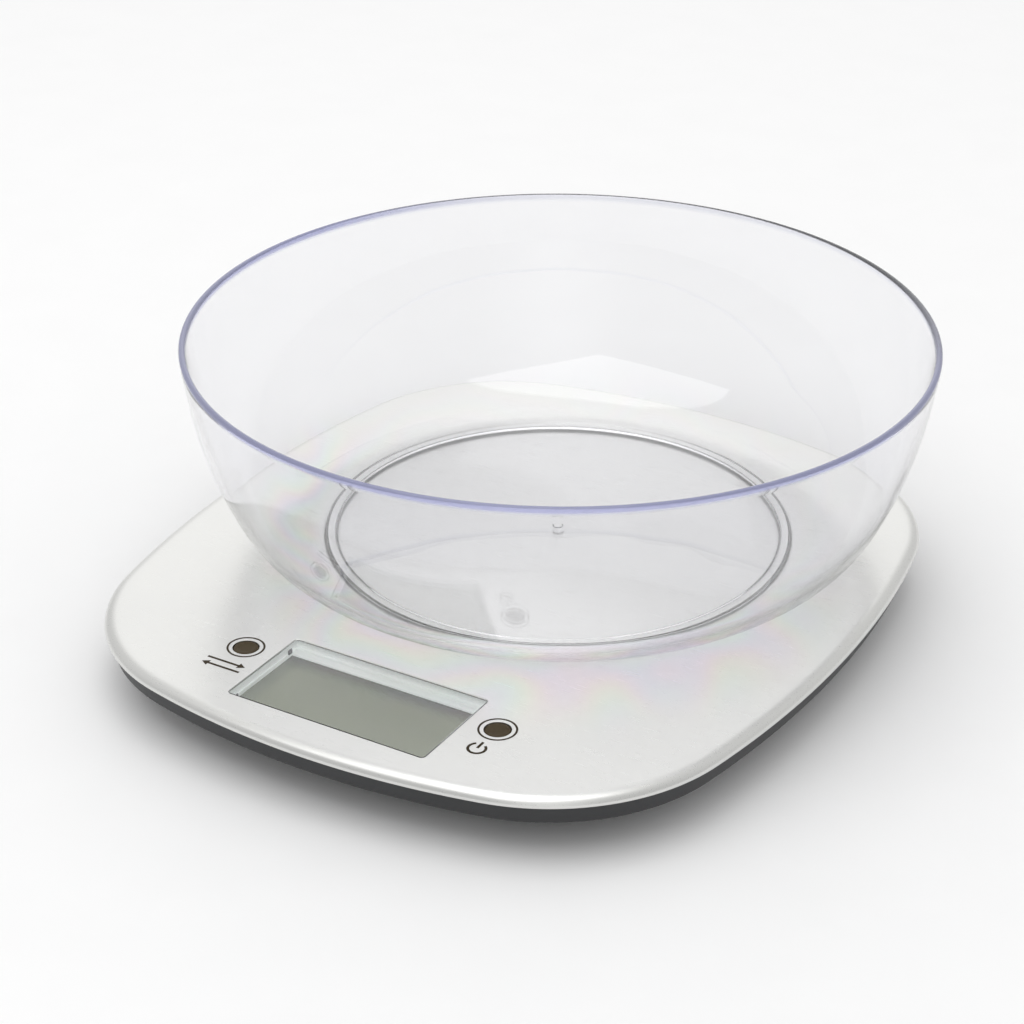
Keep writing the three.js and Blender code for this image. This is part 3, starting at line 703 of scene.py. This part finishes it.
def clear_styrene():
    material, tree, shader = new_material("clear_styrene", "#ffffff", Roughness=0.0, IOR=1.59)
    place = add(tree, "ShaderNodeTexCoord").outputs["Object"]
    flow = noise(tree, place, 30.0, 1.0)
    centred = add(tree, "ShaderNodeVectorMath", {
        0: place, 1: (-bowl_axis[0] * MM, -bowl_axis[1] * MM, 0),
    }, operation="ADD").outputs[0]
    parts = add(tree, "ShaderNodeSeparateXYZ", {0: centred}).outputs
    flat = add(tree, "ShaderNodeCombineXYZ", {"X": parts["X"], "Y": parts["Y"]}).outputs[0]
    radius = add(tree, "ShaderNodeVectorMath", {0: flat}, operation="LENGTH").outputs["Value"]
    # Painted light: the rim's last millimetres get a lavender colour and lose transmission, most of all
    # at the front, in place of light piped up the wall.
    rim = fade(tree, parts["Z"], (bowl_high.z - 2.4) * MM, (bowl_high.z - 0.9) * MM)
    rim_glow_front = fade(tree, parts["Y"], 90.0 * MM, 20.0 * MM, 0.2, 1.0)
    painted_rim_glow = calculate(tree, "MULTIPLY", rim, rim_glow_front)
    painted_rim_and_stress_colour = blend(tree, painted_rim_glow, painted_stress_colour_and_shade(tree, parts, radius, flow), "#c6c9f2")
    passing = fade(tree, painted_rim_glow, 0.0, 1.0, 1.0, 0.58, "LINEAR")
    bump = add(tree, "ShaderNodeBump", {"Height": flow, "Distance": 0.08 * MM, "Strength": 1.0})
    dye = add(tree, "ShaderNodeVolumeAbsorption", {"Color": "#c4c8fb", "Density": 4.0})
    tree.links.new(passing, shader.inputs["Transmission Weight"])
    tree.links.new(painted_rim_and_stress_colour, shader.inputs["Base Color"])
    tree.links.new(bump.outputs[0], shader.inputs["Normal"])
    tree.links.new(dye.outputs[0], tree.nodes["Material Output"].inputs["Volume"])
    return material


styrene = clear_styrene()

# %% [markdown]
# ## Mixing bowl
# The bowl is one turned shape with real thickness, because glass only bends light properly when
# both of its faces are there. The lower wall is a 30 mm round knee, the upper wall a long curve that
# nearly straightens at the rim, and a low foot ring lifts the floor off the plate. The inner face
# keeps 1.8 mm from the outer one all the way. The small pip under the floor is the gate's scar.

# %% Mixing bowl
bowl_height = bowl_high.z - bowl_low.z
rim_radius = (bowl_high.x - bowl_low.x) / 2
wall = 1.8
foot_radius = 64.0
knee_radius = 30.0
knee_centre = (62.5, 31.0)
knee_turn = 62.0
rim_flare = 6.5


def wall_line(offset, start, knee_steps, wall_steps):
    """Points from the start of the knee to just under the rim, offset inwards."""
    radius = knee_radius - offset
    points = arc(knee_centre, radius, -90 + start, -90 + knee_turn, knee_steps)
    end = Vector(points[-1])
    way = Vector((math.cos(math.radians(knee_turn)), math.sin(math.radians(knee_turn))))
    rim = Vector((rim_radius - offset, bowl_height - wall / 2))
    rim_way = Vector((math.sin(math.radians(rim_flare)), math.cos(math.radians(rim_flare))))
    apart = rim - end
    reach = (apart.x * rim_way.y - apart.y * rim_way.x) / (way.x * rim_way.y - way.y * rim_way.x)
    bend = end + way * reach
    for i in range(1, wall_steps + 1):
        t = i / wall_steps
        spot = end * (1 - t) ** 2 + bend * 2 * t * (1 - t) + rim * t ** 2
        points.append((spot.x, spot.y))
    return points


def bowl_profile():
    floor_under, floor_top = 1.0, 3.0
    outer_start = math.degrees(math.asin((foot_radius + 0.5 - knee_centre[0]) / knee_radius))
    inner_start = math.degrees(math.acos((knee_centre[1] - floor_top) / (knee_radius - wall)))
    under = rounded([
        (0, floor_under - 0.3, 0), (1.2, floor_under - 0.3, 0.15), (1.5, floor_under, 0.12),
        (2.0, floor_under, 0), (12, floor_under, 0), (40, floor_under, 0),
        (foot_radius - 3.4, floor_under, 0),
        (foot_radius - 2.6, floor_under, 0.3), (foot_radius - 2.3, 0, 0.35), (foot_radius, 0, 0.45),
        (foot_radius + 0.35, knee_centre[1] - knee_radius, 0),
    ])
    outer = wall_line(0, outer_start, 26, 30)
    rim = arc((rim_radius - wall / 2, bowl_height - wall / 2), wall / 2, 15, 165, 8)
    inner = wall_line(wall, inner_start, 26, 30)[::-1]
    inside = [(floor_r, floor_top) for floor_r in (inner[-1][0] - 2.5, 40, 20, 0)]
    return under + outer + rim + inner + inside


def build_bowl():
    bm = bmesh.new()
    profile = [(radius, height + bowl_low.z) for radius, height in bowl_profile()]
    turned(bm, profile, bowl_axis, 192)
    return finish_mesh(bm, "mixing_bowl", 60.0)


dress(build_bowl(), styrene, "bowl", "clear_plastic", "bowl")

# %% [markdown]
# ## Display
# The display is a stack seen through a clear acrylic lens. The lens lies 0.1 mm under the plate's
# face and its top edge is broken by a small bevel, which catches a bright line. Below it a milky
# grey bezel walls the well, with a small step halfway down. Milky plastic carries light sideways;
# a painted glow of its own stands for that and brightens the shaded walls of the well. A ledge
# along its back holds the liquid crystal cell down. At the bottom lie the two glass sheets of that
# cell under their polariser film. A cell that is switched off shows only the film: grey-green, with
# the shade of the well's back and left walls painted into it, violet along the back.

# %% Display
def box_stack(bm, outline, low, high, bevel=0.1):
    """A flat body with its upper and lower edges broken by a bevel."""
    stack(bm, outline, [(bevel, low), (0, low + bevel), (0, high - bevel), (bevel, high)])


def clear_acrylic():
    material, tree, shader = new_material("clear_acrylic", "#ffffff", IOR=1.49)
    shader.inputs["Transmission Weight"].default_value = 1.0
    mottle(tree, shader, 16.0, "#ffffff", "#fbfdfc", (0.0, 0.015), 0.004)
    return material


def polariser_film_with_painted_shade(low, high):
    """Grey-green film with the painted shade of the well's walls: violet and darker along the back
    edge, darker towards the left.
    """
    material, tree, shader = new_material("polariser_film_with_painted_shade", "#9aa28c", IOR=1.5)
    place, paint = mottle(tree, shader, 0.6, "#989e82", "#91977c", (0.3, 0.36), 0.001)
    parts = add(tree, "ShaderNodeSeparateXYZ", {0: place}).outputs
    # Painted shade: the shadow of the well's back wall, violet and dark, and of its left wall.
    back = fade(tree, parts["Y"], (high.y - 11.5) * MM, (high.y - 3.0) * MM)
    left = fade(tree, parts["X"], (low.x + 8.0) * MM, (low.x + 3.0) * MM, 0.0, 0.5)
    violet = blend(tree, back, paint, "#504b4d")
    tree.links.new(blend(tree, left, violet, "#6d766c"), shader.inputs["Base Color"])
    return material


def build_lens():
    bm = bmesh.new()
    gap = 0.06
    body = rectangle(window_centre, window_half_width - gap, window_half_depth - gap, 1.1, 6)
    seat = window_high.z - 0.8
    flange = -(lens_flange + gap)
    stack(bm, body, [
        (flange, window_low.z), (flange, seat), (0, seat), (0, window_high.z - 0.2),
        (0.06, window_high.z - 0.06), (0.2, window_high.z),
    ])
    return finish_mesh(bm, "lens", 20.0)


def build_bezel():
    low, high = box_mm("display_bezel")
    bm = bmesh.new()
    well_half = (window_half_width - 0.3, window_half_depth - 0.3)
    well = rectangle(window_centre, *well_half, 1.0, 6)
    stack(bm, well, [(-1.8, low.z), (-1.9, low.z + 0.1), (-1.9, high.z + 0.2)])
    frame_body = finish_mesh(bm, "bezel", 25.0)
    bm = bmesh.new()
    step = (low.z + high.z) / 2
    stack(bm, well, [(0, low.z - 1), (0, step - 0.15), (-0.35, step), (-0.35, high.z + 1)])
    combine(frame_body, finish_mesh(bm, "well"), "DIFFERENCE")
    bm = bmesh.new()
    ledge_depth, overlap = 2.4, 0.3
    ledge_middle = (window_centre[0], window_centre[1] + well_half[1] - ledge_depth / 2 + overlap)
    ledge_half = (window_half_width - 0.1, ledge_depth / 2 + overlap)
    ledge = rectangle(ledge_middle, *ledge_half, 0.3, 3)
    stack(bm, ledge, [(0, low.z + 0.02), (0, low.z + 0.3), (0.12, low.z + 0.42)])
    combine(frame_body, finish_mesh(bm, "ledge"), "UNION")
    return frame_body


def build_cell_glass():
    low, high = box_mm("lcd_panel")
    bm = bmesh.new()
    wide, deep = (high.x - low.x) / 2, (high.y - low.y) / 2
    glass = rectangle(window_centre, wide, deep, 0.2, 2)
    seal = rectangle(window_centre, wide - 0.8, deep - 0.8, 0.2, 2)
    box_stack(bm, glass, low.z, low.z + 1.1)
    box_stack(bm, seal, low.z + 1.1, low.z + 1.2, 0.01)
    box_stack(bm, glass, low.z + 1.2, low.z + 2.3)
    return finish_mesh(bm, "cell_glass")


def build_polariser():
    low, high = box_mm("lcd_panel")
    bm = bmesh.new()
    wide, deep = (high.x - low.x) / 2 - 0.4, (high.y - low.y) / 2 - 0.4
    outline = rectangle(window_centre, wide, deep, 0.3, 3)
    box_stack(bm, outline, low.z + 2.31, high.z, 0.04)
    return finish_mesh(bm, "polariser")


def build_clips():
    """Two small dark catches on the left wall of the well."""
    low = box_mm("display_bezel")[0]
    wall_x = window_centre[0] - window_half_width + 0.36
    bm = bmesh.new()
    back_clip = (window_high.y - 5.2, 0.8, 0.9, 2.2)
    front_clip = (window_low.y + 5.0, 0.5, 0.3, 1.3)
    for y, half, bottom, top in (back_clip, front_clip):
        box_stack(bm, rectangle((wall_x, y), 0.2, half, 0.15, 3), low.z + bottom, low.z + top, 0.08)
    return finish_mesh(bm, "bezel_clips")


acrylic = clear_acrylic()
# Painted light: a faint emission in the bezel's own colour brightens the walls of the well, which lie
# in the plate's shade.
milky_grey_painted_glow = moulded(
    "milky_grey_polycarbonate", "#f3f6f5", "#e8edeb", 2.5, (0.22, 0.3), 0.003, IOR=1.58,
    Emission_Color=hex_colour("#e8edeb"), Emission_Strength=0.28,
)
cell_glass_finish = moulded(
    "soda_lime_cell_glass", "#8b9384", "#848c7e", 3.0, (0.05, 0.1), 0.001, IOR=1.52,
)
dress(build_lens(), acrylic, "housing", "clear_plastic", "window_lens")
dress(build_bezel(), milky_grey_painted_glow, "housing", "grey_plastic", "display_bezel")
dress(build_clips(), black_abs, "housing", "black_plastic")
dress(build_cell_glass(), cell_glass_finish, "housing", "display_glass", "lcd_panel")
dress(build_polariser(), polariser_film_with_painted_shade(*box_mm("lcd_panel")), "housing", "display_glass")

# %% [markdown]
# ## Keys
# Each key is a dark olive cap in the plate, on a collar that keeps it from coming out and a stem
# that reaches the switch. The cap is dished by a tenth of a millimetre, so its middle mirrors a
# different part of the room than its edge and the key doesn't look printed on.

# %% Keys
def build_key(side):
    low, high = box_mm(f"key_{side}")
    cap, collar, stem = key_cap_radius, key_cap_radius + key_collar, 1.8
    collar_low, collar_high = 14.4, 15.2
    profile = rounded([
        (0, low.z, 0), (stem, low.z, 0.2), (stem, collar_low, 0.2), (collar, collar_low, 0.2),
        (collar, collar_high, 0.2), (cap, collar_high, 0.15), (cap, high.z, 0.35),
        (cap - 0.9, high.z, 0.3), (cap - 1.6, high.z - 0.1, 0.4), (0, high.z - 0.12, 0),
    ])
    bm = bmesh.new()
    turned(bm, profile, key_place(side), 64)
    return finish_mesh(bm, f"key_cap_{side}")


olive = moulded(
    "olive_abs", "#4c3f27", "#453922", 0.4, (0.5, 0.6), 0.004, IOR=1.54, Specular_IOR_Level=0.3,
)
for side in ("left", "right"):
    dress(build_key(side), olive, f"key_{side}", "key_plastic", f"key_{side}")

# %% [markdown]
# ## Printing on the plate
# Pad printing leaves a film of ink about 0.02 mm thick, so each mark is a real thin body on the
# steel. A ring circles each key, and a plain sign in front of it says what it does: two
# opposed arrows for changing the unit, a broken ring with a bar for switching on.

# %% Printing on the plate
ink_low = plate_top - 0.01
ink_high = plate_top + 0.02
ring_inner, ring_outer = 4.45, 5.0
sign_drop = 9.7
arrow_length, arrow_offset = 11.5, 1.3


def ink_patch(bm, points):
    """A thin body over a closed outline given anticlockwise."""
    low = ring(bm, points, ink_low)
    high = ring(bm, points, ink_high)
    bridge(bm, low, high)
    bm.faces.new(low[::-1])
    bm.faces.new(high)


def ink_ring(bm, centre, inner, outer):
    turned(bm, [
        (inner, ink_low), (outer, ink_low), (outer, ink_high), (inner, ink_high), (inner, ink_low),
    ], centre, 96)


def arrow(centre, length, way):
    """Outline of an arrow that points along +X or -X."""
    shaft, head, reach = 0.36, 1.2, length / 2
    neck = reach - 2.0
    shape = [
        (-reach, -shaft), (neck, -shaft), (neck, -head), (reach, 0),
        (neck, head), (neck, shaft), (-reach, shaft),
    ]
    return [(centre[0] + way * x, centre[1] + way * y) for x, y in shape]


def broken_ring(centre, radius, line, opening):
    """Outline of a ring with a gap, in degrees, at its back."""
    start, end = 90 + opening / 2, 450 - opening / 2
    outer = arc(centre, radius + line / 2, start, end, 48)
    return outer + arc(centre, radius - line / 2, end, start, 48)


def build_print(side):
    x, y = key_place(side)
    bm = bmesh.new()
    ink_ring(bm, (x, y), ring_inner, ring_outer)
    sign = (x, y - sign_drop)
    if side == "left":
        ink_patch(bm, arrow((sign[0], sign[1] + arrow_offset), arrow_length, 1))
        ink_patch(bm, arrow((sign[0], sign[1] - arrow_offset), arrow_length, -1))
    else:
        ink_patch(bm, broken_ring(sign, 2.2, 0.72, 70))
        bar = rectangle((sign[0], sign[1] + 1.6), 0.36, 1.45, 0.1, 3)
        ink_patch(bm, bar(0))
    return finish_mesh(bm, f"print_{side}")


ink = moulded(
    "pad_printing_ink", "#3d3220", "#362c1c", 0.5, (0.6, 0.7), 0.002, IOR=1.5,
    Specular_IOR_Level=0.3,
)
for side in ("left", "right"):
    dress(build_print(side), ink, "housing", "key_plastic")

# %% [markdown]
# ## Feet, screws and battery door
# These parts are seen when the scale is turned over. The rubber pads have two grooves that keep
# them from sticking to a wet worktop. Screws are turned bodies with real thread ridges and a cross
# recess, and the battery door has a finger dip beside its catch and three grip grooves.

# %% Feet
def build_shoe(corner):
    bm = bmesh.new()
    shoe, flange, knob = 7.4, 8.9, 3.0
    low, flange_low, flange_high, knob_high = 1.3, 5.6, 6.0, 6.4
    turned(bm, rounded([
        (0, low, 0), (shoe - 0.6, low, 0.3), (shoe, low + 0.6, 0.3), (shoe, flange_low, 0.2),
        (flange, flange_low, 0.15), (flange, flange_high, 0.15),
        (knob, flange_high, 0.15), (knob, knob_high, 0.15), (0, knob_high, 0),
    ]), middle(f"foot_shoe_{corner}"), 64)
    return finish_mesh(bm, f"shoe_{corner}")


def build_pad(corner):
    bm = bmesh.new()
    edge, groove, thickness = 6.8, 0.3, 1.0
    turned(bm, rounded([
        (0, groove, 0), (1.6, groove, 0.1), (1.9, 0, 0.1), (3.1, 0, 0.1), (3.3, groove, 0.08),
        (3.7, groove, 0.08), (3.9, 0, 0.1), (5.0, 0, 0.1), (5.2, groove, 0.08), (5.6, groove, 0.08),
        (5.8, 0, 0.1), (edge - 0.4, 0, 0.15), (edge, 0.4, 0.15), (edge, thickness, 0.1),
        (0, thickness, 0),
    ]), middle(f"foot_pad_{corner}"), 64)
    return finish_mesh(bm, f"pad_{corner}")


grey_rubber = moulded(
    "grey_thermoplastic_rubber", "#4c4d4e", "#434445", 0.25, (0.72, 0.86), 0.01, IOR=1.52,
)
for corner in foot_names:
    dress(build_shoe(corner), black_abs, "housing", "black_plastic", f"foot_shoe_{corner}")
    dress(build_pad(corner), grey_rubber, "housing", "foot_rubber", f"foot_pad_{corner}")


# %% Screws
def build_screw(node, head_radius, head_height, shank_radius, recess):
    low, high = box_mm(node)
    centre = middle(node)
    under_head = low.z + head_height
    profile = [
        (0, low.z), (head_radius * 0.72, low.z), (head_radius * 0.93, low.z + 0.2),
        (head_radius, low.z + 0.45), (head_radius, under_head - 0.1), (head_radius - 0.1, under_head),
    ]
    pitch, height = 0.8, under_head
    root = shank_radius * 0.78
    profile.append((root, height))
    while height + pitch < high.z - 0.6:
        profile += [
            (root, height + pitch * 0.4), (shank_radius, height + pitch * 0.7), (root, height + pitch),
        ]
        height += pitch
    profile += [(root * 0.9, high.z - 0.4), (0.1, high.z), (0, high.z)]
    bm = bmesh.new()
    turned(bm, profile, centre, 40)
    body = finish_mesh(bm, node.replace("screw", "fastener"), 35.0)
    slot = 0.24
    for wide, deep in ((recess, slot), (slot, recess)):
        bm = bmesh.new()
        stack(bm, rectangle(centre, wide, deep, 0.1, 2), [
            (-0.1, low.z - 0.5), (0, low.z), (0.12, low.z + head_height * 0.62),
        ])
        combine(body, finish_mesh(bm, "recess"), "DIFFERENCE")
    return body


def drawn_steel(name, light, dark, gloss):
    """Bare or plated steel with the fine lengthwise marks of drawing."""
    material, tree, shader = new_material(name, light, Metallic=1.0)
    mottle(tree, shader, 0.4, light, dark, gloss, 0.001, (1, 0.2, 1))
    return material


zinc_steel = drawn_steel("zinc_plated_steel", "#c4c6c6", "#b4b7ba", (0.25, 0.4))
board_screw_names = [f"board_screw_{i}" for i in range(1, 5)]
base_size = {"head_radius": 2.55, "head_height": 1.4, "shank_radius": 1.1, "recess": 1.5}
board_size = {"head_radius": 1.88, "head_height": 1.0, "shank_radius": 0.9, "recess": 1.15}
for names, size in ((screw_names, base_size), (board_screw_names, board_size)):
    for node in names:
        dress(build_screw(node, **size), zinc_steel, "housing", "spring_steel", node)


# %% Battery door
def build_door():
    bottom, thickness = door_low.z, 1.2
    front = door_low.y
    half = ((door_high.x - door_low.x) / 2, (door_high.y - door_low.y) / 2)
    bm = bmesh.new()
    stack(bm, rectangle((0, battery_y), *half, 0.9, 6), [
        (0.9, bottom), (0.25, bottom), (0.05, bottom + 0.1), (0, bottom + 0.25),
        (0, bottom + thickness - 0.1), (0.1, bottom + thickness),
    ])
    door = finish_mesh(bm, "door", 30.0)
    bm = bmesh.new()
    stack(bm, rectangle((0, front + 1.9), 4, 0.5, 0.2, 3), [
        (0, bottom + 0.6), (0, door_high.z - 0.4), (0.25, door_high.z),
    ])
    combine(door, finish_mesh(bm, "catch"), "UNION")
    bm = bmesh.new()
    stack(bm, rectangle((0, front + 3.4), 5, 1.4, 1.0, 6), [
        (-0.15, bottom - 1), (-0.15, bottom), (0.2, bottom + 0.6),
    ])
    first_groove, groove_spacing = front + 8.0, 2.2
    for i in range(3):
        groove = rectangle((0, first_groove + groove_spacing * i), 9, 0.4, 0.38, 4)
        stack(bm, groove, [(-0.15, bottom - 1), (-0.15, bottom), (0.15, bottom + 0.4)])
    combine(door, finish_mesh(bm, "dips"), "DIFFERENCE")
    return door


dress(build_door(), black_abs, "battery_door", "black_plastic", "battery_door")

# %% [markdown]
# ## Finishes for the parts inside
# The inner parts keep their CAD shape and only get a real finish. Each one is a noise, a stripe or
# a grid laid over the material's own colour, with the grain that the part has in life: acetal is
# nearly even, a solder mask shows its copper tracks, an elastomer connector is a row of black and
# pale layers, and the sleeve of a dry cell is a printed film with one coloured end.

# %% Finishes for the parts inside
def striped(name, light, dark, axis, width, share, gloss, **values):
    """Bands of two colours across one axis, `width` mm for a pair, the dark one taking `share`."""
    material, tree, shader = new_material(name, light, **values)
    place, paint = mottle(tree, shader, 0.5, light, light, gloss, 0.002)
    along = add(tree, "ShaderNodeSeparateXYZ", {0: place}).outputs[axis]
    phase = calculate(tree, "FRACT", calculate(tree, "MULTIPLY", along, per_mm(width)))
    band = calculate(tree, "LESS_THAN", phase, share)
    tree.links.new(blend(tree, band, paint, dark), shader.inputs["Base Color"])
    return material


def solder_mask():
    """Green lacquer over copper tracks in rows 2.4 mm apart."""
    material, tree, shader = new_material("green_solder_mask", "#1f6b3a", IOR=1.55, Coat_Weight=0.6)
    place, paint = mottle(tree, shader, 1.0, "#1f6b3a", "#195c31", (0.25, 0.35), 0.01)
    tracks = add(tree, "ShaderNodeTexBrick", {
        "Vector": place, "Scale": per_mm(8.0), "Mortar Size": 0.035, "Mortar Smooth": 0.1,
        "Brick Width": 0.9, "Row Height": 0.3,
    }).outputs["Fac"]
    tree.links.new(blend(tree, tracks, paint, "#3f9460"), shader.inputs["Base Color"])
    return material


def cell_sleeve():
    """Dark film with a copper-coloured band over one end of each cell."""
    material, tree, shader = new_material("printed_cell_sleeve", "#2b2d33", IOR=1.5, Coat_Weight=0.5)
    place, paint = mottle(tree, shader, 1.5, "#2f3138", "#27292f", (0.2, 0.28), 0.002)
    along = add(tree, "ShaderNodeSeparateXYZ", {0: place}).outputs["X"]
    band = calculate(tree, "GREATER_THAN", along, 8.0 * MM)
    tree.links.new(blend(tree, band, paint, "#b9783f"), shader.inputs["Base Color"])
    return material


def sleeve(name, light, dark):
    """Soft vinyl drawn over a wire."""
    return moulded(name, light, dark, 1.0, (0.4, 0.5), 0.004, IOR=1.53)


finishes = {
    "bright_steel": steel_finish,
    "clear_plastic": acrylic,
    "black_plastic": black_abs,
    "white_plastic": moulded("white_acetal", "#ecebe6", "#e2e1db", 1.2, (0.3, 0.38), 0.004, IOR=1.48),
    "grey_plastic": moulded("grey_moulded_abs", "#9b9d9e", "#909293", 0.4, (0.4, 0.52), 0.01, IOR=1.54),
    "key_plastic": olive,
    "display_glass": cell_glass_finish,
    "contact_rubber": striped(
        "layered_silicone_connector", "#c9b9b4", "#1c1c1e", "X", 0.36, 0.5, (0.5, 0.6), IOR=1.41,
    ),
    "board": solder_mask(),
    "epoxy": moulded("black_epoxy", "#141416", "#1b1b1e", 1.4, (0.18, 0.32), 0.02, IOR=1.56),
    "spring_steel": drawn_steel("spring_steel_strip", "#b3b4b5", "#a4a6a8", (0.28, 0.42)),
    "foot_rubber": grey_rubber,
    "nickel": drawn_steel("nickel_plated_strip", "#cfccc2", "#c2bfb3", (0.2, 0.32)),
    "cell_sleeve": cell_sleeve(),
    "lead_sleeve": sleeve("white_vinyl_sleeve", "#d8d6d0", "#cbc9c2"),
}
lead_colours = {
    "battery_lead_red": sleeve("red_vinyl_sleeve", "#b3241d", "#9d1d18"),
    "battery_lead_black": sleeve("black_vinyl_sleeve", "#1f2021", "#191a1b"),
}
for node in sorted(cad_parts):
    for holder in bpy.data.objects[node].material_slots:
        holder.material = lead_colours.get(node, finishes[holder.material.name.split(".")[0]])
print("finishes:", len(finishes) + len(lead_colours))
